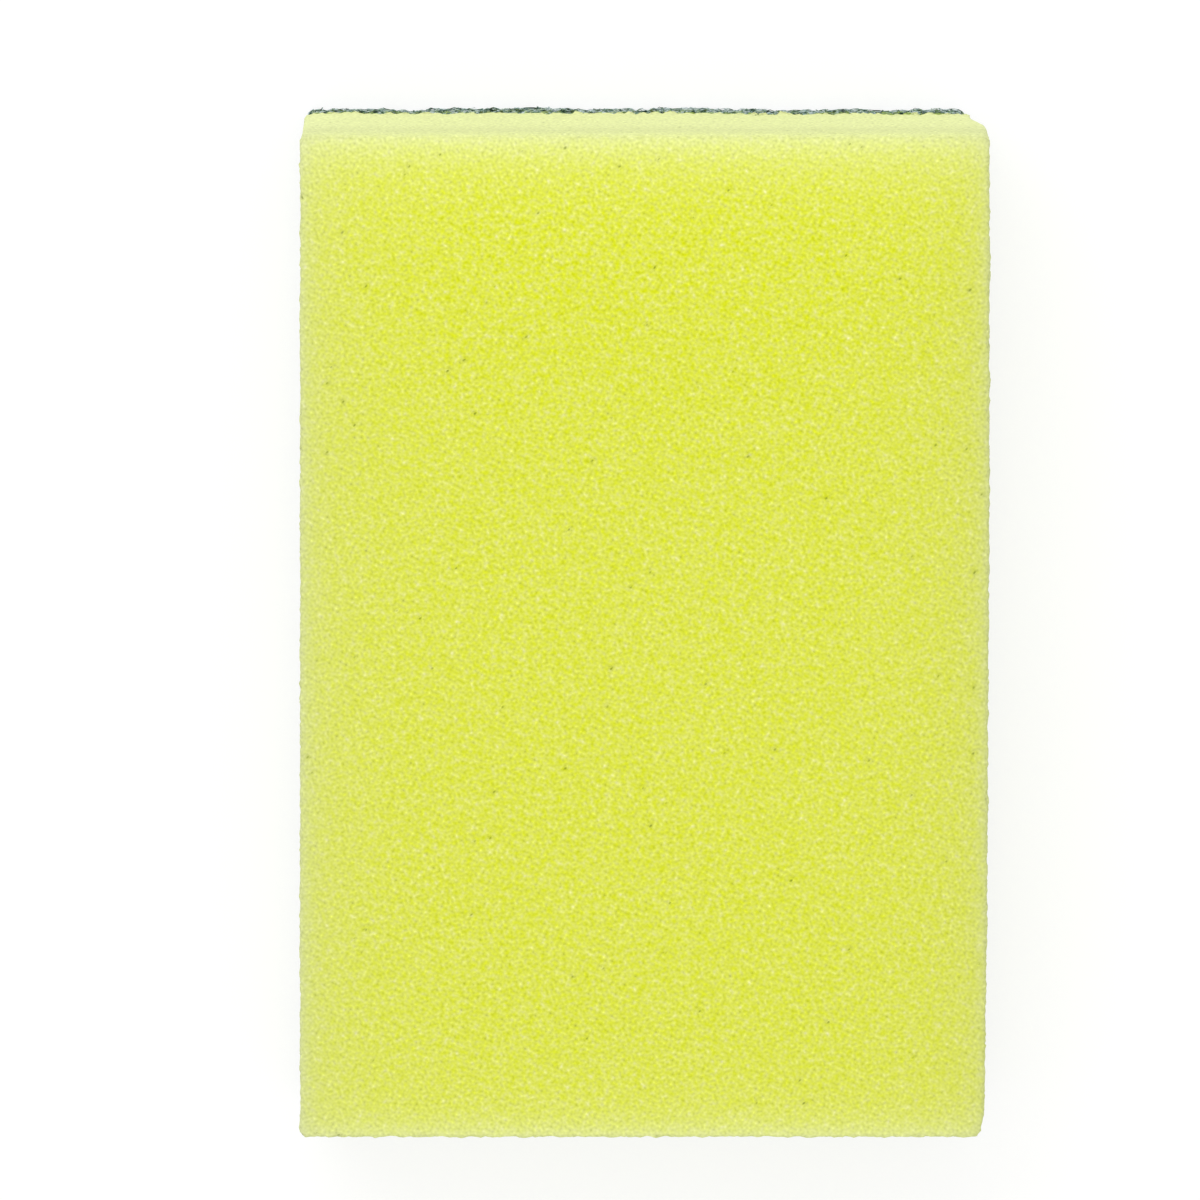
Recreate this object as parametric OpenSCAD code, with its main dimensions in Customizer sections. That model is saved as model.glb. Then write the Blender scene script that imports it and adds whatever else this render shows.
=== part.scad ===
// Cleaning sponge: a block of fine foam with a scouring pad bonded to its back.
// It lies on the pad. X runs across it, Y along it, and Z up through its thickness.
// The origin is on the surface it lies on, under the middle of the foam face.

/* [Foam block] */
// Width of the foam face
foam_w = 88.6; // [60:0.2:120]
// Length of the foam face
foam_l = 130; // [90:1:180]
// Thickness of the foam
foam_t = 25; // [12:0.5:40]
// Radius of the soft edge round the foam face
face_edge_r = 0.5; // [0.3:0.1:2]

/* [Outline of the foam] */
// Radius of three of the upright corners
corner_r = 0.8; // [0.3:0.1:4]
// Radius of the fourth corner, at the end of the bowed side
heel_r = 1.5; // [0.3:0.1:4]
// How far the right side bows in before that corner
bow_in = 0.5; // [0:0.1:2]
// Length over which the right side bows in
bow_l = 44; // [10:1:60]
// How far the left side leans in at the far end
lean_in = 0.1; // [0:0.05:1]

/* [Cut sides of the foam] */
// Draft of the long sides, from the foam face down to the pad
side_draft = 0.5; // [0:0.1:2]
// Draft of the two ends
end_draft = 0.15; // [0:0.05:2]
// How far the right side steps in where the blade pulled it
step_in = 1.7; // [0:0.1:4]
// Depth of that step's middle below the foam face
step_depth = 17.2; // [5:0.1:30]
// Height over which the step turns in and out again
step_h = 10; // [2:0.5:20]
// How far each end steps in at its crease
crease_in = 0.15; // [0:0.05:1]
// Depth of the crease below the foam face
crease_depth = 7.5; // [3:0.5:20]
// Height over which the crease turns in
crease_h = 3; // [1:0.5:8]

/* [Scouring pad] */
// Thickness of the pad
pad_t = 5; // [3:0.5:12]
// How far the pad stands back from the foam on the left side
pad_back_left = 0.5; // [0:0.1:3]
// How far the pad stands back from the foam on the right side
pad_back_right = 0.7; // [0:0.1:3]
// How far the pad stands back from the foam at the two ends
pad_back_end = 0.1; // [0:0.1:3]
// Radius of the pad's upright corners
pad_corner_r = 0.8; // [0.5:0.1:5]
// Rounding of the pad's lower edge
pad_edge_r = 0.7; // [0.2:0.1:2]
// How far the torn fibre edge wanders either way
ragged = 0.16; // [0.02:0.02:0.6]
// Length of one wave of that edge
ragged_pitch = 9; // [5:0.5:20]

/* [Hidden] */

foam_colour = [0.87, 0.90, 0.35];
pad_colour = [0.31, 0.40, 0.35];

// Steps along one rounded corner, one rounded edge, the bowed side and the height of a wall
corner_steps = 6;
edge_steps = 4;
bow_steps = 8;
wall_steps = 14;
// Spacing of the points along the pad's torn edge
fibre_step = 1.8;
// How far a cutting profile reaches past what it cuts
past = 5;

total_t = pad_t + foam_t;

// Smooth turn from 0 to 1
function ease(u) = let(c = min(max(u, 0), 1)) c * c * (3 - 2 * c);

// Points along an arc, from one angle to the other
function arc(centre, r, from, to, steps) =
    [for (i = [0:steps]) centre + r * [cos(from + (to - from) * i / steps), sin(from + (to - from) * i / steps)]];

// How far a wall has come in at a depth below the foam face: straight draft and one soft step
function cut_in(t, draft, step, depth, h) = draft * t / foam_t + step * ease((t - depth) / h + 0.5);
function left_in(t) = cut_in(t, side_draft, 0, step_depth, step_h);
function right_in(t) = cut_in(t, side_draft, step_in, step_depth, step_h);
function end_in(t) = cut_in(t, end_draft, crease_in, crease_depth, crease_h);

// How far the rounded edge of the foam face has come in at a depth
function edge_in(t) = t >= face_edge_r ? 0 : face_edge_r - sqrt(pow(face_edge_r, 2) - pow(face_edge_r - t, 2));

// Depths of the foam's rings: close together round the edge, then even down the wall
depths = concat(
    [for (i = [0:edge_steps]) face_edge_r * (1 - cos(90 * i / edge_steps))],
    [for (i = [1:wall_steps]) face_edge_r + (foam_t - face_edge_r) * i / wall_steps]
);

// Outline of the foam at a depth, anticlockwise from the corner at the end of the bowed side
function foam_outline(t) =
    let(
        e = edge_in(t),
        left = -foam_w / 2 + left_in(t) + e,
        right = foam_w / 2 - right_in(t) - e,
        near = -foam_l / 2 + end_in(t) + e,
        far = foam_l / 2 - end_in(t) - e,
        heel_x = right - bow_in - heel_r,
        heel_y = near + heel_r
    )
    concat(
        arc([heel_x, heel_y], heel_r, -90, 0, corner_steps),
        [for (i = [1:bow_steps]) [right - bow_in * pow(1 - i / bow_steps, 2), heel_y + bow_l * i / bow_steps]],
        arc([right - corner_r, far - corner_r], corner_r, 0, 90, corner_steps),
        arc([left + lean_in + corner_r, far - corner_r], corner_r, 90, 180, corner_steps),
        arc([left + corner_r, near + corner_r], corner_r, 180, 270, corner_steps)
    );

// Solid skinned over rings of points, from the lowest ring to the highest
module skin(rings) {
    n = len(rings[0]);
    last = (len(rings) - 1) * n;
    polyhedron(
        points = [for (ring = rings) each ring],
        faces = concat(
            [[for (i = [0:n - 1]) i]],
            [for (k = [0:len(rings) - 2], i = [0:n - 1])
                let(a = k * n + i, b = k * n + (i + 1) % n) [a, a + n, b + n, b]],
            [[for (i = [n - 1:-1:0]) last + i]]
        ),
        convexity = 4
    );
}

module foam_block() {
    top = len(depths) - 1;
    color(foam_colour)
        skin([for (k = [top:-1:0]) [for (p = foam_outline(depths[k])) [p.x, p.y, total_t - depths[k]]]]);
}

// The pad's outline follows the foam where the two are bonded
pad_left = -foam_w / 2 + left_in(foam_t) + pad_back_left;
pad_right = foam_w / 2 - right_in(foam_t) - pad_back_right;
pad_near = -foam_l / 2 + end_in(foam_t) + pad_back_end;
pad_far = foam_l / 2 - end_in(foam_t) - pad_back_end;

// Wander of the torn edge at a point of it, between -1 and 1
function wander(p) =
    (sin(360 * (0.9 * p.x + 0.8 * p.y) / ragged_pitch)
        + 0.7 * sin(360 * (1.5 * p.x - 1.7 * p.y) / ragged_pitch)
        + 0.9 * sin(360 * (0.35 * p.x + 0.4 * p.y) / ragged_pitch)) / 2.6;

// Point of the torn edge that lies outward of a centre
function torn_point(centre, r, angle) =
    let(out = [cos(angle), sin(angle)], p = centre + r * out) p + out * ragged * wander(p);

// Outline of the pad: each round corner, then the straight side to the next one
module pad_outline() {
    r = pad_corner_r;
    centres = [[pad_right - r, pad_near + r], [pad_right - r, pad_far - r],
               [pad_left + r, pad_far - r], [pad_left + r, pad_near + r]];
    polygon([for (k = [0:3])
        let(c = centres[k], way = centres[(k + 1) % 4] - c, steps = max(2, round(norm(way) / fibre_step)))
        each concat(
            [for (i = [0:corner_steps]) torn_point(c, r, 90 * (k - 1 + i / corner_steps))],
            [for (i = [1:steps - 1]) torn_point(c + way * i / steps, r, 90 * k)]
        )]);
}

// Section across the pad with its lower edges rounded, standing clear of the torn outline
module pad_section(low, high) {
    r = pad_edge_r;
    a = low - ragged;
    b = high + ragged;
    polygon(concat(
        arc([a + r, r], r, 180, 270, edge_steps),
        arc([b - r, r], r, 270, 360, edge_steps),
        [[b, pad_t + past], [a, pad_t + past]]
    ));
}

module scouring_pad() {
    color(pad_colour)
        intersection() {
            linear_extrude(pad_t) pad_outline();
            translate([0, foam_l / 2 + past, 0]) rotate([90, 0, 0])
                linear_extrude(foam_l + 2 * past) pad_section(pad_left, pad_right);
            translate([-foam_w / 2 - past, 0, 0]) rotate([90, 0, 90])
                linear_extrude(foam_w + 2 * past) pad_section(pad_near, pad_far);
        }
}

foam_block();
scouring_pad();
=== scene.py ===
"""Looks of the cleaning sponge: a foam block and a scouring pad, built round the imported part."""
from collections import namedtuple
import math

import bpy
import numpy as np
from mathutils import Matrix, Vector, noise


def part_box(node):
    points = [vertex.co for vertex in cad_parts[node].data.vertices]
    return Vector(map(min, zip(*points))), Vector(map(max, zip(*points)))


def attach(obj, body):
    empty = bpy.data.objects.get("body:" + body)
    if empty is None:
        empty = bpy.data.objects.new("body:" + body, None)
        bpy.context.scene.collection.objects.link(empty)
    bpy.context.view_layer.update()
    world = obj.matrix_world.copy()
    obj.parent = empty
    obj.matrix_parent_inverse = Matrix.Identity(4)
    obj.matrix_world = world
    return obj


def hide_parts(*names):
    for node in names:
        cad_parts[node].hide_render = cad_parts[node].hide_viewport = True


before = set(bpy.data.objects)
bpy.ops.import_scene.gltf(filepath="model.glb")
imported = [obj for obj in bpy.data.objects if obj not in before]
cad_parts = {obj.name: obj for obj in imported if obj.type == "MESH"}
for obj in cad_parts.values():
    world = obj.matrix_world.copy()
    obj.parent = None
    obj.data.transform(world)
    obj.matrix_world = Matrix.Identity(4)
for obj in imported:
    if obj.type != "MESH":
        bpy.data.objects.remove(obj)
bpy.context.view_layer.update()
MM = 0.001

# Digits, in metres, to which heights and places of CAD points are rounded, and a height too small to count
HEIGHT_DIGITS = 6
PLACE_DIGITS = 7
TINY = 10 ** -HEIGHT_DIGITS

# The view: where the foam face lies in the photograph, in its pixels
PHOTO_PX = 1200
FACE_LEFT_PX = 300.0
FACE_RIGHT_PX = 989.0
FACE_TOP_PX = 137.5
FACE_BOTTOM_PX = 1137.8
VIEW_TILT = math.radians(8.2)
VIEW_DISTANCE = 7.0
VIEW_END = 3 * VIEW_DISTANCE
SENSOR = 36.0

# Light: shares of the brightness of a white surface that faces up
WORLD_LIGHT = 0.81
KEY_LIGHT = 0.26
KEY_PLACE = (-0.35, 1.0, 1.2)
KEY_SIZE = 1.2
# Half the side of the floor, and its white
FLOOR_SIZE = 6.0
FLOOR_WHITE = (0.9, 0.9, 0.9, 1)
# What the camera sees of the floor: its own light, and the part that shadows can darken
FLOOR_GLOW = 0.74
FLOOR_SHADED = (0.3, 0.3, 0.3, 1)

# Foam mesh: its grid, the depths of the first rings round the face's edge, and the cut cells of its surface
FOAM_SEED = 10
FOAM_CELL = 0.5 * MM
EDGE_DEPTHS = [0, 0.07 * MM, 0.2 * MM, 0.5 * MM]
JITTER = 0.09 * MM
GRAIN_HEIGHT = 0.006 * MM
GRAIN_LIMIT = 2
SWELL_SIZE = 9 * MM
SWELL_HEIGHT = 0.05 * MM
# Open pits: the share of points that are one, their sizes and depth, and the painted shade at the bottom of
# each
PIT_SHARE = 0.0025
PIT_SIZES = (0.65, 1)
PIT_DEPTH = 0.3 * MM
PIT_SLOPE = 2.4
PIT_START = -1.1
PIT_SHADE_SHARE = 0.72
# The foam's edge along the joint with the pad is a little frayed
FRAY_SIZE = 0.75 * MM
FRAY_HEIGHT = 0.65 * MM
FRAY_BACK = 0.14 * MM
FRAY_REACH = 1.2 * MM
# The cut walls are rough, most along the edges of the face
ROUGH_SIZE = 0.8 * MM
ROUGH_HEIGHT = 0.45 * MM
ROUGH_REACH = 3 * MM
# The bonded edges of foam and pad wander together: one slice of a slow noise
BOND_SIZE = 12 * MM
BOND_SLICE = 19 * BOND_SIZE
BOND_WANDER = 0.2 * MM
BOND_REACH = 6 * MM
# The right side is pulled in a little towards its near end
PULL = 0.17 * MM
PULL_FROM = 17 * MM
PULL_LENGTH = 35 * MM
PULL_POWER = 6
# The round corner at that end, whose radius comes first, is cut to a sharper one
HEEL_R = 1.5 * MM
CUT_IN = 0.74 * MM
CUT_LENGTH = 3.2 * MM
CUT_POWER = 1.6
CUT_FADE = 5 * MM

# Foam tones: specks and shade, in a noise grid that is turned so that no wall lies along it
GRID_TURN = math.radians(27)
SPECK_SIZE = 0.67 * MM
SPECK = 0.425
BASE_LEVEL = 0.4
SPECK_POWER = 2.0
SHADE_SIZE = 0.4 * MM
SHADE = 0.16
SHADE_BUMP = 0.04 * MM
# How much the strongest specks and shade stand out from the rest
STAND_OUT = 1.6
# The face is a little paler away from this band below its far edge
BAND_MIDDLE = 12 * MM
BAND_WIDTH = 24 * MM
OFF_BAND_PALE = 0.045
# Brightness of the face, and the painted light that makes it rise towards the far edge, as if light shone in
# through the foam there
FACE_SHADE = 0.97
FAR_GLOW = 0.072
FAR_GLOW_REACH = 14 * MM
FAR_GLOW_DEPTH = 1.2 * MM
# Depth over which the tones of the face turn into those of a wall
WALL_REACH = 3 * MM
# Painted shade: the faint dark line in the crease of the two ends
CREASE_DEPTH = 6.9 * MM
CREASE_SPREAD = 4.3 * MM
CREASE_SHADE = 0.095

# Edges of the foam face: paleness near the edge, painted light shining in through the foam, and its reach,
# how pale the wall below the edge is, partly the cut foam's own and partly painted light, how much of the
# light on the rounded rim is evened out by painted shade at the far end and painted light at the near end, a
# wider haze of painted light, and how much painted shade darkens the edge and the haze
HAZE_REACH = 7 * MM
Edge = namedtuple("Edge", "axis side pale reach wall rim haze dim haze_dim", defaults=(0.0,) * 4)
EDGES = [
    Edge(axis=1, side=1, pale=0.66, reach=2.8 * MM, wall=0.86, rim=0.24),
    Edge(axis=1, side=-1, pale=0.56, reach=1.6 * MM, wall=0.82, rim=-0.09, haze=0.10),
    Edge(axis=0, side=-1, pale=0.50, reach=0.9 * MM, wall=0.78, haze=0.27, dim=0.08, haze_dim=0.07),
    Edge(axis=0, side=1, pale=0.50, reach=0.85 * MM, wall=0.78, haze=0.17, dim=0.08, haze_dim=0.08),
]

# Pad mesh: its grid, and the rounded lower edge with the angle of each ring on it
PAD_CELL = 0.55 * MM
PAD_EDGE_R = 0.7 * MM
PAD_EDGE_ANGLES = (90, 60, 30, 0)
# Matted fibre: hollows between tufts, finer dips, and clumps that stand out
TUFT_SIZE = 1.6 * MM
TUFT_DEPTH = 0.4 * MM
TUFT_BASE = 0.2
TUFT_HOLLOW = 0.6
DIP_SIZE = 0.4 * TUFT_SIZE
DIP = 0.3
CLUMP_SIZE = 0.7 * MM
CLUMP_HEIGHT = 0.35 * MM
# How far the fibre stands back at the pad's two ends
END_BACK = 0.06 * MM

# Loose fibres: the sides of a tube, then how many fibres, the points along one, and their lengths, curl in
# radians for each metre, radii, waves and tints, where 0 is dark and 1 is light
FIBRE_SIDES = 3
Fibres = namedtuple("Fibres", "seed count points lengths curl radii waves tints")
WALL = Fibres(seed=11, count=9800, points=4, lengths=(1.2 * MM, 3.2 * MM), curl=260,
              radii=(0.035 * MM, 0.07 * MM), waves=(0.5, 1.6), tints=(0.3, 1.5))
BACK = Fibres(seed=12, count=4500, points=8, lengths=(4 * MM, 10 * MM), curl=180,
              radii=(0.045 * MM, 0.08 * MM), waves=(0.5, 1.8), tints=(0.1, 0.75))
# Steps of the outline that wall fibres follow, and how many of them each way give its direction
RING_STEPS = 900
SLOPE_STEPS = 2
# Share of the wall's fibres that run along the edge, as in a mat laid in layers, and their steepest turn
ALONG_EDGE = 0.3
ALONG_TURN = 0.45
# Where wall fibres lie, out from the outline, and how far they swing to either side of that
WALL_PLACES = (-0.22 * MM, 0.04 * MM)
WALL_SWINGS = (0.02 * MM, 0.1 * MM)
# How far wall fibres reach up over the joint with the foam
JOINT_REACH = 0.5 * MM
# Half the height to which back fibres rise, and how far their middles and their points keep from the edges
BACK_RISES = (0.02 * MM, 0.22 * MM)
BACK_MARGIN = 2 * MM
BACK_EDGE = 0.4 * MM

# Tint of the pad's web on its sides and on its back, and how much painted shade darkens the sides towards
# the joint
WEB_TINT = 0.82
BACK_TINT = 0.3
JOINT_SHADE = 0.45
# Three noises that change the tint: size and strength of each, and the bump of the finest
PATCH_SIZE = 0.7 * MM
PATCH = 2.2
DRIFT_SIZE = 2.4 * MM
DRIFT = 0.6
GRIT_SIZE = 0.25 * MM
GRIT = 0.5
GRIT_BUMP = 0.08 * MM
# Foam scraps that cling to the fibre below the joint
SCRAP_SIZE = 0.6 * MM
SCRAP = 2.5
SCRAP_START = 0.1
SCRAP_REACH = 2 * MM

# Sockets of a mix node that take and give colours
MIX_A = 6
MIX_B = 7
MIX_OUT = 2


def srgb(red, green, blue):
    """A colour of the screen, 0 to 255, as the linear colour that shaders take."""
    return tuple((c / 255 / 12.92 if c <= 10 else ((c / 255 + 0.055) / 1.055) ** 2.4)
                 for c in (red, green, blue)) + (1.0,)


FOAM_DEEP = srgb(218, 227, 14)
FOAM_GLINT = srgb(245.5, 243, 179)
# Pale colour of the cut walls and edges: partly the cut foam's own, partly painted light shining in through
# the foam
FOAM_PALE = srgb(235, 242.5, 182)
# Colour of the painted shade at the bottom of a pit
PIT_SHADE_COLOUR = srgb(128, 140, 40)
FOAM_SCRAP = srgb(196, 218, 112)
# Colours of the fibre, each at its tint: partly the fibre's own random tones, and at the palest stop partly
# painted glints on the fibre
FIBRE_STOPS = [
    (0.0, srgb(22, 52, 42)),
    (0.4, srgb(100, 140, 110)),
    (0.75, srgb(148, 180, 174)),
    (1.0, srgb(216, 230, 230)),
]


# Outlines read from the frame

def cad_rings(node):
    """The outlines of a CAD node: its heights, and one closed ring of points for each of them."""
    points = np.array([v.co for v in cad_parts[node].data.vertices])
    heights = np.unique(np.round(points[:, 2], HEIGHT_DIGITS))
    rings = []
    for z in heights:
        level = points[np.abs(points[:, 2] - z) < TINY]
        ring = np.unique(np.round(level[:, :2], PLACE_DIGITS), axis=0)
        turn = np.arctan2(ring[:, 1], ring[:, 0])
        rings.append(ring[np.argsort(turn)])
    return heights, rings


def way_along(line):
    """How far along a line each of its points is."""
    return np.concatenate([[0], np.cumsum(np.linalg.norm(np.diff(line, axis=0), axis=1))])


def along(line, count):
    """count + 1 points at equal steps along a line of points."""
    way = way_along(line)
    at = np.linspace(0, way[-1], count + 1)
    return np.stack([np.interp(at, way, line[:, k]) for k in range(2)], axis=1)


def four_sides(ring, across, lengthwise):
    """A ring as points at equal steps along its four sides, anticlockwise from the corner at low x and y."""
    order = [(-1, -1), (1, -1), (1, 1), (-1, 1)]
    corners = [int(np.argmax(ring @ np.array(way))) for way in order]
    sides = []
    for k, count in enumerate([across, lengthwise, across, lengthwise]):
        a, b = corners[k], corners[(k + 1) % 4]
        if b <= a:
            b += len(ring)
        sides.append(along(ring[np.arange(a, b + 1) % len(ring)], count)[:-1])
    return np.concatenate(sides)


def filled(ring, across, lengthwise):
    """A grid of points inside a ring of four sides, which follows all four."""
    closed = np.concatenate([ring, ring[:1]])
    near = closed[: across + 1]
    right = closed[across: across + lengthwise + 1]
    far = closed[across + lengthwise: 2 * across + lengthwise + 1][::-1]
    left = closed[2 * across + lengthwise:][::-1]
    u = np.linspace(0, 1, across + 1)[:, None, None]
    v = np.linspace(0, 1, lengthwise + 1)[None, :, None]
    flat = (1 - v) * near[:, None] + v * far[:, None] + (1 - u) * left[None] + u * right[None]
    twist = ((1 - u) * (1 - v) * near[0] + u * (1 - v) * near[-1]
             + (1 - u) * v * far[0] + u * v * far[-1])
    return flat - twist


def raised(flat, z):
    """Flat points with a height: one for all of them, or one for each."""
    height = np.broadcast_to(z, flat.shape[:-1])
    return np.concatenate([flat, height[..., None]], axis=-1)


def grid_block(levels, rings, across, lengthwise, fill_top):
    """Points and faces of a block: walls through rings at the levels, from a filled face to a plain one.

    The filled face is a grid, and the plain one, which another piece covers, is one face."""
    around = 2 * (across + lengthwise)
    walls = np.concatenate([raised(ring, z) for z, ring in zip(levels, rings)])
    inner = filled(rings[0], across, lengthwise)[1:-1, 1:-1].reshape(-1, 2)
    points = np.concatenate([walls, raised(inner, levels[0])])
    # Index of each point of the filled face: its rim is the first ring
    index = np.zeros((across + 1, lengthwise + 1), int)
    index[1:-1, 1:-1] = len(walls) + np.arange(len(inner)).reshape(across - 1, lengthwise - 1)
    index[:, 0] = np.arange(across + 1)
    index[-1, :] = across + np.arange(lengthwise + 1)
    index[::-1, -1] = across + lengthwise + np.arange(across + 1)
    index[0, ::-1] = (2 * across + lengthwise + np.arange(lengthwise + 1)) % around
    grid = np.stack([index[:-1, :-1], index[1:, :-1], index[1:, 1:], index[:-1, 1:]], axis=-1)
    quads = [grid.reshape(-1, 4)]
    step = np.arange(around)
    after = (step + 1) % around
    for k in range(len(levels) - 1):
        a, b = k * around, (k + 1) * around
        quads.append(np.stack([a + after, a + step, b + step, b + after], axis=-1))
    faces = np.concatenate(quads).tolist()
    faces.append((len(walls) - around + step[::-1]).tolist())
    if not fill_top:
        faces = [f[::-1] for f in faces]
    return points, faces


def new_mesh(name, points, faces, smooth=True):
    mesh = bpy.data.meshes.new(name)
    mesh.from_pydata(points.tolist(), [], faces)
    mesh.update()
    if smooth:
        mesh.shade_smooth()
    piece = bpy.data.objects.new(name, mesh)
    bpy.context.scene.collection.objects.link(piece)
    return piece


def normals_of(mesh):
    out = np.zeros(len(mesh.vertices) * 3, np.float32)
    mesh.vertex_normals.foreach_get("vector", out)
    return out.reshape(-1, 3).astype(float)


def move_to(mesh, points):
    mesh.vertices.foreach_set("co", points.astype(np.float32).ravel())
    mesh.update()


def field(points, size):
    """Smooth noise between about -1 and 1 at each point, with features of a size."""
    return np.array([noise.noise(Vector(p)) for p in points / size])


def bond(points):
    """Slow wander of the bonded edges at each point, the same at all heights."""
    return BOND_WANDER * field(raised(points[:, :2], BOND_SLICE), BOND_SIZE)


def store(mesh, name, values):
    """Keeps a value for each point, where a material can read it."""
    layer = mesh.attributes.new(name, "FLOAT", "POINT")
    layer.data.foreach_set("value", np.asarray(values, np.float32))


# Foam block

def foam_tones(points, normals, low, high):
    """How pale and how bright the foam is painted at each point, from its distance to the edges of the face:
    painted light shining in near the edges, partly the cut walls' own paleness, and painted shade and light
    along the edges, on the rims and in the crease of the ends.
    """
    depth = high.z - points[:, 2]
    down = 1 - np.exp(-depth / WALL_REACH)
    from_far = high.y - points[:, 1]
    band = np.exp(-((from_far - BAND_MIDDLE) / BAND_WIDTH) ** 2)
    clear = 1 - OFF_BAND_PALE * (1 - band)
    # Painted light: the face grows brighter towards its far edge, fading on the wall below
    glow = np.exp(-np.maximum(from_far, 0) / FAR_GLOW_REACH - depth / FAR_GLOW_DEPTH)
    shade = FACE_SHADE + FAR_GLOW * glow
    for edge in EDGES:
        limit = high[edge.axis] if edge.side > 0 else low[edge.axis]
        distance = np.maximum(edge.side * (limit - points[:, edge.axis]), 0)
        facing = np.maximum(edge.side * normals[:, edge.axis], 0)
        close = np.exp(-distance / edge.reach)
        haze = np.exp(-distance / HAZE_REACH)
        # Painted light near the edge, and on its wall partly the cut foam's own paleness and partly painted
        # light
        pale = edge.pale * close + edge.haze * haze
        pale += (edge.wall - pale) * (facing * down)
        clear *= 1 - pale
        # Painted shade along the edge and its haze; on the rims, painted shade at the far end and painted
        # light at the near end that even out the key light
        shade -= (edge.dim * close + edge.haze_dim * haze) * (1 - down)
        shade -= edge.rim * facing * normals[:, 2]
    # Painted shade in the crease of the two ends
    crease = np.exp(-((depth - CREASE_DEPTH) / CREASE_SPREAD) ** 2) * np.abs(normals[:, 1])
    return 1 - clear, shade - CREASE_SHADE * crease


def ease(share):
    """Smooth turn from 0 to 1."""
    return share * share * (3 - 2 * share)


def near_right(points, low, high):
    """How far each point moves in from the right: the pull in that side and the cut of its near corner."""
    share = np.clip((PULL_FROM - points[:, 1]) / PULL_LENGTH, 0, 1)
    side = np.clip(points[:, 0] / high.x, 0, 1)
    pull = PULL * ease(share) * side ** PULL_POWER
    from_near = np.maximum(points[:, 1] - low.y, 0)
    cut = CUT_IN * np.clip(1 - from_near / CUT_LENGTH, 0, 1) ** CUT_POWER
    arc = HEEL_R - np.sqrt(HEEL_R ** 2 - np.clip(HEEL_R - from_near, 0, HEEL_R) ** 2)
    return pull + (cut - arc) * np.clip(1 - (high.x - points[:, 0]) / CUT_FADE, 0, 1)


def make_foam():
    heights, cad = cad_rings("foam_block")
    low, top = heights[0], heights[-1]
    across = round(np.ptp(cad[-1][:, 0]) / FOAM_CELL)
    lengthwise = round(np.ptp(cad[-1][:, 1]) / FOAM_CELL)
    flat = np.stack([four_sides(ring, across, lengthwise) for ring in cad]).reshape(len(heights), -1)
    deep = round((top - low - EDGE_DEPTHS[-1]) / FOAM_CELL)
    depths = EDGE_DEPTHS + list(np.linspace(EDGE_DEPTHS[-1], top - low, deep + 1)[1:])
    levels = [top - depth for depth in depths]
    rings = [np.array([np.interp(z, heights, column) for column in flat.T]).reshape(-1, 2)
             for z in levels]
    points, faces = grid_block(levels, rings, across, lengthwise, True)
    piece = new_mesh("foam", points, faces)
    mesh = piece.data
    normals = normals_of(mesh)
    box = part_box("foam_block")
    pale, shade = foam_tones(points, normals, *box)
    # Cut cells: a random grain, small sideways shifts that hide the grid, and a few open pits
    rng = np.random.default_rng(FOAM_SEED)
    grain = GRAIN_HEIGHT * rng.normal(0, 1, len(points)).clip(-GRAIN_LIMIT, GRAIN_LIMIT)
    pits = (rng.random(len(points)) < PIT_SHARE) * rng.uniform(*PIT_SIZES, len(points))
    shift = rng.uniform(-JITTER, JITTER, points.shape)
    shift -= normals * np.sum(shift * normals, axis=1, keepdims=True)
    # A slow swell everywhere, fray at the joint, roughness below the face, and wander above the joint
    above = points[:, 2] - low
    below = top - points[:, 2]
    upright = 1 - np.abs(normals[:, 2])
    swell = SWELL_HEIGHT * field(points, SWELL_SIZE)
    fray = (FRAY_HEIGHT * field(points, FRAY_SIZE) - FRAY_BACK) * np.exp(-above / FRAY_REACH)
    rough = ROUGH_HEIGHT * field(points, ROUGH_SIZE) * np.exp(-below / ROUGH_REACH) * upright
    wander = bond(points) * np.exp(-above / BOND_REACH) * upright
    height = grain + fray + swell - PIT_DEPTH * pits + rough + wander
    moved = points + shift + normals * height[:, None]
    moved[:, 0] -= near_right(points, *box)
    moved[above <= TINY, 2] = low
    move_to(mesh, moved)
    store(mesh, "pale", pale)
    store(mesh, "shade", shade)
    store(mesh, "pit", pits)
    return piece


# Scouring pad

def pad_ring():
    """The height of the pad's face under the foam, and its outline there."""
    heights, cad = cad_rings("scouring_pad")
    return heights[-1], cad[-1]


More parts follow.
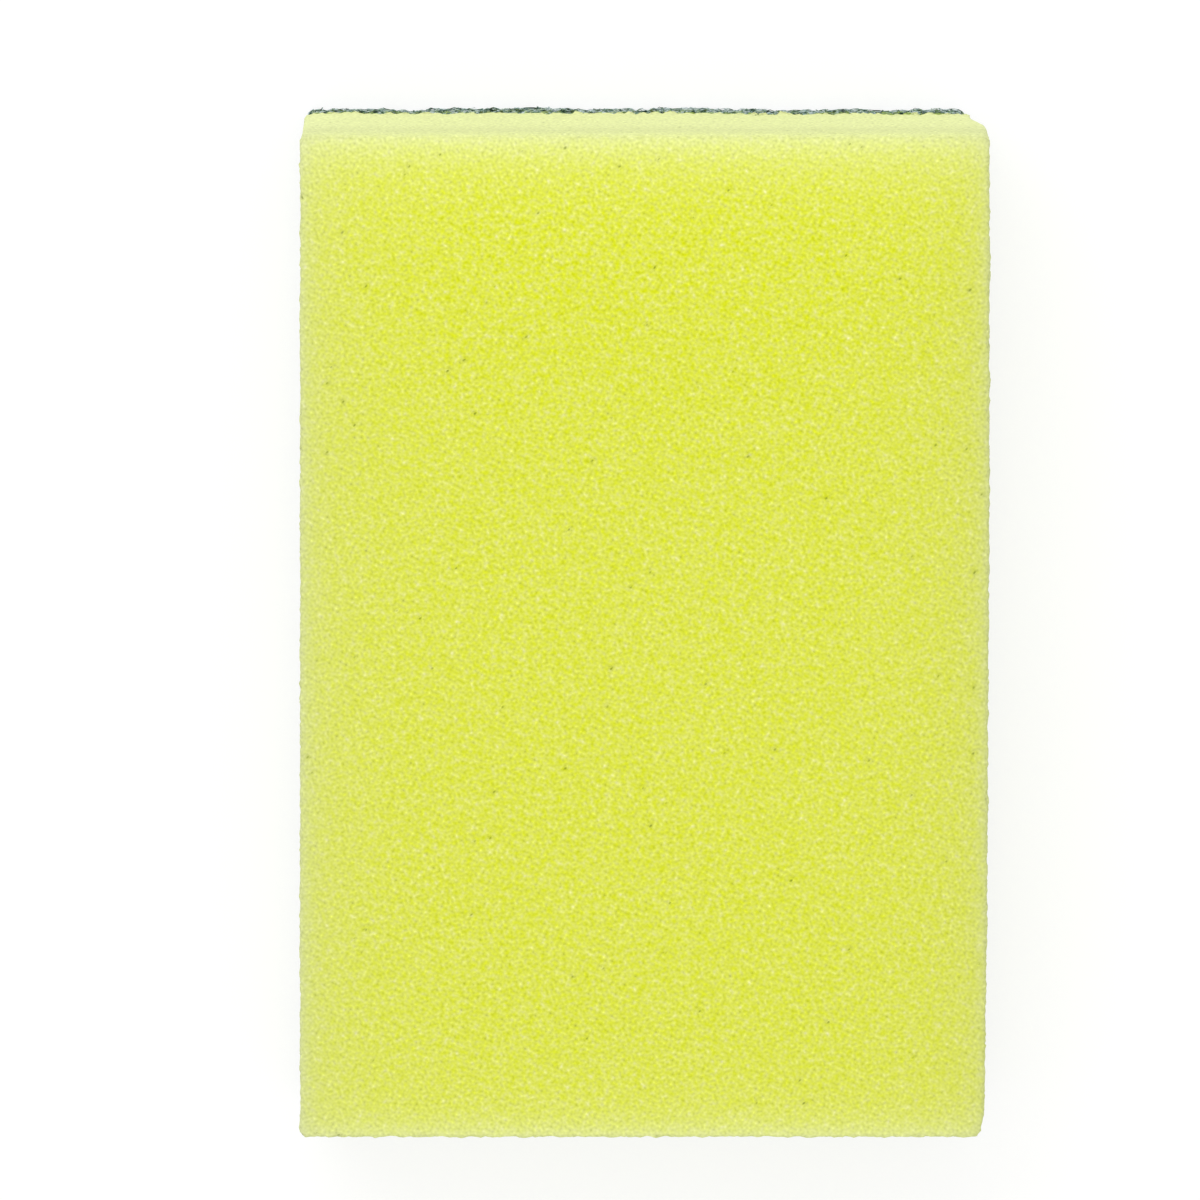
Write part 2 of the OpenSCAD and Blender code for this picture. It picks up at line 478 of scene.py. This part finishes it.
def make_pad():
    top, outline = pad_ring()
    across = round(np.ptp(outline[:, 0]) / PAD_CELL)
    lengthwise = round(np.ptp(outline[:, 1]) / PAD_CELL)
    ring = four_sides(outline, across, lengthwise)
    angles = [math.radians(a) for a in PAD_EDGE_ANGLES]
    deep = round((top - PAD_EDGE_R) / PAD_CELL)
    upper = list(np.linspace(PAD_EDGE_R, top, deep + 1)[1:])
    levels = [PAD_EDGE_R * (1 - math.sin(a)) for a in angles] + upper
    insets = [PAD_EDGE_R * (1 - math.cos(a)) for a in angles] + [0.0] * len(upper)
    half = np.abs(ring).max(axis=0)
    rings = [ring * (1 - inset / half) for inset in insets]
    points, faces = grid_block(levels, rings, across, lengthwise, False)
    piece = new_mesh("pad_web", points, faces)
    mesh = piece.data
    normals = normals_of(mesh)
    hollow = np.array([noise.voronoi(Vector(p))[0][0] for p in points / TUFT_SIZE])
    dip = field(points, DIP_SIZE)
    inward = TUFT_DEPTH * np.clip(TUFT_BASE + TUFT_HOLLOW * hollow + DIP * dip, 0, 1)
    height = CLUMP_HEIGHT * field(points, CLUMP_SIZE) - END_BACK * np.abs(normals[:, 1]) - inward
    height += bond(points) * (1 - np.abs(normals[:, 2]))
    moved = points + normals * height[:, None]
    moved[points[:, 2] >= top - TINY, 2] = top
    moved[:, 2] = np.maximum(moved[:, 2], 0)
    move_to(mesh, moved)
    under = np.clip(-normals[:, 2], 0, 1) ** 2
    # Painted shade: the web's sides darker towards the joint with the foam
    store(mesh, "tint", WEB_TINT - (WEB_TINT - BACK_TINT) * under - JOINT_SHADE * points[:, 2] / top)
    store(mesh, "scrap", np.exp((points[:, 2] - top) / SCRAP_REACH))
    return piece


def tubes(name, paths, outward, radii, tint, scrap):
    """One mesh of closed tubes along paths, fibres x points x 3. outward says which way is off the pad."""
    fibres, steps = paths.shape[:2]
    ahead = np.gradient(paths, axis=1)
    ahead /= np.linalg.norm(ahead, axis=2, keepdims=True)
    side = np.cross(ahead, outward)
    side /= np.linalg.norm(side, axis=2, keepdims=True)
    up = np.cross(side, ahead)
    turn = 2 * math.pi * np.arange(FIBRE_SIDES) / FIBRE_SIDES
    spoke = (side[:, :, None] * np.cos(turn)[None, None, :, None]
             + up[:, :, None] * np.sin(turn)[None, None, :, None])
    points = (paths[:, :, None] + spoke * radii[:, None, None, None]).reshape(-1, 3)
    k = np.arange(FIBRE_SIDES)
    ring = np.arange(steps - 1)[:, None] * FIBRE_SIDES
    a = ring + k
    b = ring + (k + 1) % FIBRE_SIDES
    quads = np.stack([a, b, b + FIBRE_SIDES, a + FIBRE_SIDES], axis=-1).reshape(-1, 4)
    start = (np.arange(fibres) * steps * FIBRE_SIDES)[:, None]
    faces = (start[:, :, None] + quads[None]).reshape(-1, 4).tolist()
    faces += (start + k[::-1]).tolist()
    faces += (start + (steps - 1) * FIBRE_SIDES + k).tolist()
    piece = new_mesh(name, points, faces)
    store(piece.data, "tint", np.repeat(tint, FIBRE_SIDES))
    store(piece.data, "scrap", np.repeat(scrap, FIBRE_SIDES))
    return piece


def wandering(rng, kind):
    """Headings of fibres that curl at a steady rate, and the distance between their points."""
    step = rng.uniform(*kind.lengths, kind.count)[:, None] / (kind.points - 1)
    curl = rng.normal(0, kind.curl, kind.count)[:, None]
    heading = rng.uniform(0, 2 * math.pi, kind.count)[:, None] + curl * step * np.arange(kind.points)
    return heading, step


def path_of(start, heading, step):
    """Points of each fibre on a flat sheet, along its headings, with their middle at its start."""
    moves = np.stack([np.cos(heading), np.sin(heading)], axis=-1) * step[..., None]
    way = np.cumsum(moves, axis=1) - moves[:, :1]
    return start[:, None] + way - way.mean(axis=1, keepdims=True)


def wave(rng, kind):
    """A sine along each fibre, with its own number of waves and its own phase."""
    waves = rng.uniform(*kind.waves, kind.count)[:, None]
    phase = rng.random(kind.count)[:, None]
    return np.sin(2 * math.pi * (waves * np.linspace(0, 1, kind.points) + phase))


def wall_fibres():
    rng = np.random.default_rng(WALL.seed)
    top, outline = pad_ring()
    closed = np.concatenate([outline, outline[:1]])
    girth = way_along(closed)[-1]
    ring = along(closed, RING_STEPS)[:-1]
    slope = np.roll(ring, -SLOPE_STEPS, axis=0) - np.roll(ring, SLOPE_STEPS, axis=0)
    out = np.stack([slope[:, 1], -slope[:, 0]], axis=1)
    out /= np.linalg.norm(out, axis=1, keepdims=True)
    # Fibres on the wall laid flat: the way round it, and the height
    heading, step = wandering(rng, WALL)
    level = rng.random(WALL.count)[:, None] < ALONG_EDGE
    heading = np.where(level, ALONG_TURN * np.sin(heading), heading)
    start = np.column_stack([rng.uniform(0, girth, WALL.count), rng.uniform(0, top, WALL.count)])
    flat = path_of(start, heading, step)
    # The wall bent round the outline: the two steps that each point lies between
    s = np.mod(flat[..., 0], girth) / girth * RING_STEPS
    i = s.astype(int) % RING_STEPS
    j = (i + 1) % RING_STEPS
    w = (s - np.floor(s))[..., None]
    place = ring[i] * (1 - w) + ring[j] * w
    normal = out[i] * (1 - w) + out[j] * w
    radii = rng.uniform(*WALL.radii, WALL.count)
    z = np.clip(flat[..., 1], radii[:, None], top + JOINT_REACH)
    # How far each point is off the outline: with the web's surface, plus a swing of its own
    at = raised(place, z).reshape(-1, 3)
    clump = CLUMP_HEIGHT * field(at, CLUMP_SIZE).reshape(z.shape)
    base = rng.uniform(*WALL_PLACES, WALL.count)[:, None] - END_BACK * np.abs(normal[..., 1])
    swing = rng.uniform(*WALL_SWINGS, WALL.count)[:, None]
    off = base + swing * wave(rng, WALL) + clump + bond(at).reshape(z.shape)
    rounded = np.clip(1 - z / PAD_EDGE_R, 0, 1)
    off -= PAD_EDGE_R * (1 - np.sqrt(1 - rounded ** 2))
    paths = raised(place + normal * off[..., None], z)
    outward = raised(normal, 0.0)
    # Painted shade: wall fibres darker towards the joint with the foam
    tint = rng.uniform(*WALL.tints, WALL.count)[:, None] - JOINT_SHADE * z / top
    return tubes("pad_edge_fibres", paths, outward, radii, tint, np.exp((z - top) / SCRAP_REACH))


def back_fibres():
    rng = np.random.default_rng(BACK.seed)
    low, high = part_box("scouring_pad")
    heading, step = wandering(rng, BACK)
    start = np.column_stack([rng.uniform(low[k] + BACK_MARGIN, high[k] - BACK_MARGIN, BACK.count)
                             for k in range(2)])
    flat = path_of(start, heading, step)
    radii = rng.uniform(*BACK.radii, BACK.count)
    rise = rng.uniform(*BACK_RISES, BACK.count)[:, None]
    z = radii[:, None] + rise * (1 + wave(rng, BACK))
    for k in range(2):
        flat[..., k] = np.clip(flat[..., k], low[k] + BACK_EDGE, high[k] - BACK_EDGE)
    paths = raised(flat, z)
    outward = np.broadcast_to(np.array([0.0, 0.0, -1.0]), paths.shape)
    tint = np.broadcast_to(rng.uniform(*BACK.tints, BACK.count)[:, None], z.shape)
    return tubes("pad_back_fibres", paths, outward, radii, tint, np.zeros(z.shape))


# Materials

def material(name):
    """A new material, its node tree and its shader."""
    made = bpy.data.materials.new(name)
    made.use_nodes = True
    return made, made.node_tree, made.node_tree.nodes["Principled BSDF"]


def feed(tree, socket, value):
    """Links a socket into another, or sets it to a plain value."""
    if isinstance(value, bpy.types.NodeSocket):
        tree.links.new(value, socket)
    else:
        socket.default_value = value


def maths(tree, operation, *values, clamp=False):
    made = tree.nodes.new("ShaderNodeMath")
    made.operation = operation
    made.use_clamp = clamp
    for socket, value in zip(made.inputs, values):
        feed(tree, socket, value)
    return made.outputs[0]


def mixed(tree, share, a, b):
    made = tree.nodes.new("ShaderNodeMix")
    made.data_type = "RGBA"
    feed(tree, made.inputs["Factor"], share)
    feed(tree, made.inputs[MIX_A], a)
    feed(tree, made.inputs[MIX_B], b)
    return made.outputs[MIX_OUT]


def scaled(tree, colour, factor):
    made = tree.nodes.new("ShaderNodeVectorMath")
    made.operation = "SCALE"
    feed(tree, made.inputs[0], colour)
    feed(tree, made.inputs["Scale"], factor)
    return made.outputs[0]


def stored(tree, name):
    """The value that store keeps for each point."""
    made = tree.nodes.new("ShaderNodeAttribute")
    made.attribute_name = name
    return made.outputs["Fac"]


def place_of(tree):
    return tree.nodes.new("ShaderNodeTexCoord").outputs["Object"]


def turned_place(tree, angle):
    """The place on the object, turned about Z."""
    made = tree.nodes.new("ShaderNodeMapping")
    feed(tree, made.inputs["Vector"], place_of(tree))
    made.inputs["Rotation"].default_value[2] = angle
    return made.outputs[0]


def noise_of(tree, place, size, detail=0.0, roughness=0.5):
    """Noise between about -1 and 1, with features of a size."""
    made = tree.nodes.new("ShaderNodeTexNoise")
    feed(tree, made.inputs["Vector"], place)
    made.inputs["Scale"].default_value = 1 / size
    made.inputs["Detail"].default_value = detail
    made.inputs["Roughness"].default_value = roughness
    return maths(tree, "MULTIPLY_ADD", made.outputs["Fac"], 2.0, -1.0)


def stood_out(tree, value):
    """A noise whose far values, on both sides, are moved further out."""
    square = maths(tree, "MULTIPLY", value, value)
    return maths(tree, "MULTIPLY", value, maths(tree, "MULTIPLY_ADD", square, STAND_OUT, 1.0))


def bumped(tree, shader, height, distance):
    made = tree.nodes.new("ShaderNodeBump")
    made.inputs["Strength"].default_value = 1.0
    made.inputs["Distance"].default_value = distance
    feed(tree, made.inputs["Height"], height)
    tree.links.new(made.outputs["Normal"], shader.inputs["Normal"])


def foam_material():
    made, tree, shader = material("foam")
    place = turned_place(tree, GRID_TURN)
    # Pale specks where the cell walls catch the light, deeper colour between them
    speck = stood_out(tree, noise_of(tree, place, SPECK_SIZE, detail=1.0, roughness=0.35))
    level = maths(tree, "MAXIMUM", maths(tree, "MULTIPLY_ADD", speck, SPECK, BASE_LEVEL), 0.0)
    colour = mixed(tree, maths(tree, "POWER", level, SPECK_POWER, clamp=True), FOAM_DEEP, FOAM_GLINT)
    # Paleness near the edges and on the walls: partly the cut foam's own, partly painted light
    colour = mixed(tree, stored(tree, "pale"), colour, FOAM_PALE)
    # Shade between the cells
    grain = noise_of(tree, place, SHADE_SIZE)
    shade = maths(tree, "MULTIPLY_ADD", stood_out(tree, grain), SHADE, 1.0)
    # With the painted shade and light of the edges, rims, crease and far end
    colour = scaled(tree, colour, maths(tree, "MULTIPLY", shade, stored(tree, "shade")))
    # Painted shade, only at the bottom of a pit
    pit = maths(tree, "MULTIPLY_ADD", stored(tree, "pit"), PIT_SLOPE, PIT_START, clamp=True)
    colour = mixed(tree, maths(tree, "MULTIPLY", pit, PIT_SHADE_SHARE), colour, PIT_SHADE_COLOUR)
    feed(tree, shader.inputs["Base Color"], colour)
    shader.inputs["Roughness"].default_value = 0.95
    shader.inputs["Specular IOR Level"].default_value = 0.1
    bumped(tree, shader, grain, SHADE_BUMP)
    return made


def fibre_material():
    made, tree, shader = material("scouring_fibre")
    place = place_of(tree)
    grit = noise_of(tree, place, GRIT_SIZE, detail=1.0)
    patch = noise_of(tree, place, PATCH_SIZE, detail=1.0)
    drift = noise_of(tree, place, DRIFT_SIZE)
    tone = maths(tree, "MULTIPLY_ADD", grit, GRIT, stored(tree, "tint"))
    tone = maths(tree, "MULTIPLY_ADD", patch, PATCH, tone)
    tone = maths(tree, "MULTIPLY_ADD", drift, DRIFT, tone)
    ramp = tree.nodes.new("ShaderNodeValToRGB")
    # The ramp comes with two stops, and the others are added anywhere between them
    stops = ramp.color_ramp.elements
    while len(stops) < len(FIBRE_STOPS):
        stops.new(0.5)
    for stop, (position, colour) in zip(stops, FIBRE_STOPS):
        stop.position = position
        stop.color = colour
    feed(tree, ramp.inputs[0], tone)
    cling = maths(tree, "MULTIPLY_ADD", noise_of(tree, place, SCRAP_SIZE), SCRAP, SCRAP_START, clamp=True)
    cling = maths(tree, "MULTIPLY", cling, stored(tree, "scrap"))
    feed(tree, shader.inputs["Base Color"], mixed(tree, cling, ramp.outputs[0], FOAM_SCRAP))
    shader.inputs["Roughness"].default_value = 0.6
    shader.inputs["Specular IOR Level"].default_value = 0.35
    bumped(tree, shader, grit, GRIT_BUMP)
    return made


# Stage, light and camera

def plain_rays(tree):
    """1 for rays that see the background as it is: camera, glossy and transmission rays."""
    path = tree.nodes.new("ShaderNodeLightPath")
    seen = maths(tree, "ADD", path.outputs["Is Camera Ray"], path.outputs["Is Glossy Ray"])
    return maths(tree, "ADD", seen, path.outputs["Is Transmission Ray"], clamp=True)


def make_floor():
    corners = FLOOR_SIZE * np.array([(-1, -1, 0), (1, -1, 0), (1, 1, 0), (-1, 1, 0)])
    floor = new_mesh("floor", corners, [[0, 1, 2, 3]], smooth=False)
    made, tree, shader = material("floor")
    seen = plain_rays(tree)
    feed(tree, shader.inputs["Base Color"], mixed(tree, seen, FLOOR_WHITE, FLOOR_SHADED))
    shader.inputs["Roughness"].default_value = 1.0
    shader.inputs["Specular IOR Level"].default_value = 0.0
    shader.inputs["Emission Color"].default_value = (1, 1, 1, 1)
    feed(tree, shader.inputs["Emission Strength"], maths(tree, "MULTIPLY", seen, FLOOR_GLOW))
    floor.data.materials.append(made)


def make_world():
    world = bpy.data.worlds.new("studio")
    bpy.context.scene.world = world
    world.use_nodes = True
    tree = world.node_tree
    background = tree.nodes["Background"]
    background.inputs["Color"].default_value = (1, 1, 1, 1)
    strength = maths(tree, "MULTIPLY_ADD", plain_rays(tree), 1 - WORLD_LIGHT, WORLD_LIGHT)
    feed(tree, background.inputs["Strength"], strength)


def make_key():
    """One large softbox, with the power that gives its share of the brightness at the origin."""
    place = Vector(KEY_PLACE)
    lamp = bpy.data.lights.new("key_light", "AREA")
    lamp.shape = "SQUARE"
    lamp.size = KEY_SIZE
    lamp.energy = KEY_LIGHT * math.pi ** 2 * place.length ** 3 / place.z
    box = bpy.data.objects.new("key_light", lamp)
    box.location = place
    box.rotation_euler = (-place).to_track_quat("-Z", "Y").to_euler()
    bpy.context.scene.collection.objects.link(box)


def make_camera():
    """A long lens, tilted from straight above, that puts the foam face where the photograph shows it."""
    low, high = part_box("foam_block")
    scale = (FACE_RIGHT_PX - FACE_LEFT_PX) / (high.x - low.x)
    toward = Vector((0, math.sin(VIEW_TILT), math.cos(VIEW_TILT)))
    upward = Vector((0, math.cos(VIEW_TILT), -math.sin(VIEW_TILT)))
    face = Vector((0, 0, high.z))
    right_by = (FACE_LEFT_PX + FACE_RIGHT_PX - PHOTO_PX) / 2 / scale
    down_by = (FACE_TOP_PX + FACE_BOTTOM_PX - PHOTO_PX) / 2 / scale
    lens = bpy.data.cameras.new("camera")
    lens.sensor_width = SENSOR
    lens.lens = SENSOR * VIEW_DISTANCE * scale / PHOTO_PX
    lens.clip_end = VIEW_END
    camera = bpy.data.objects.new("camera", lens)
    camera.location = face + toward * VIEW_DISTANCE - Vector((right_by, 0, 0)) + upward * down_by
    camera.rotation_euler = (-VIEW_TILT, 0, 0)
    bpy.context.scene.collection.objects.link(camera)
    bpy.context.scene.camera = camera


make_camera()
make_world()
make_key()
make_floor()

foam = make_foam()
foam.data.materials.append(foam_material())
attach(foam, "root")
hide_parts("foam_block")

web = make_pad()
strand = fibre_material()
web.data.materials.append(strand)
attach(web, "root")
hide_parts("scouring_pad")

for fibres in (wall_fibres(), back_fibres()):
    fibres.data.materials.append(strand)
    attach(fibres, "root")

bpy.context.scene.view_settings.view_transform = "Standard"
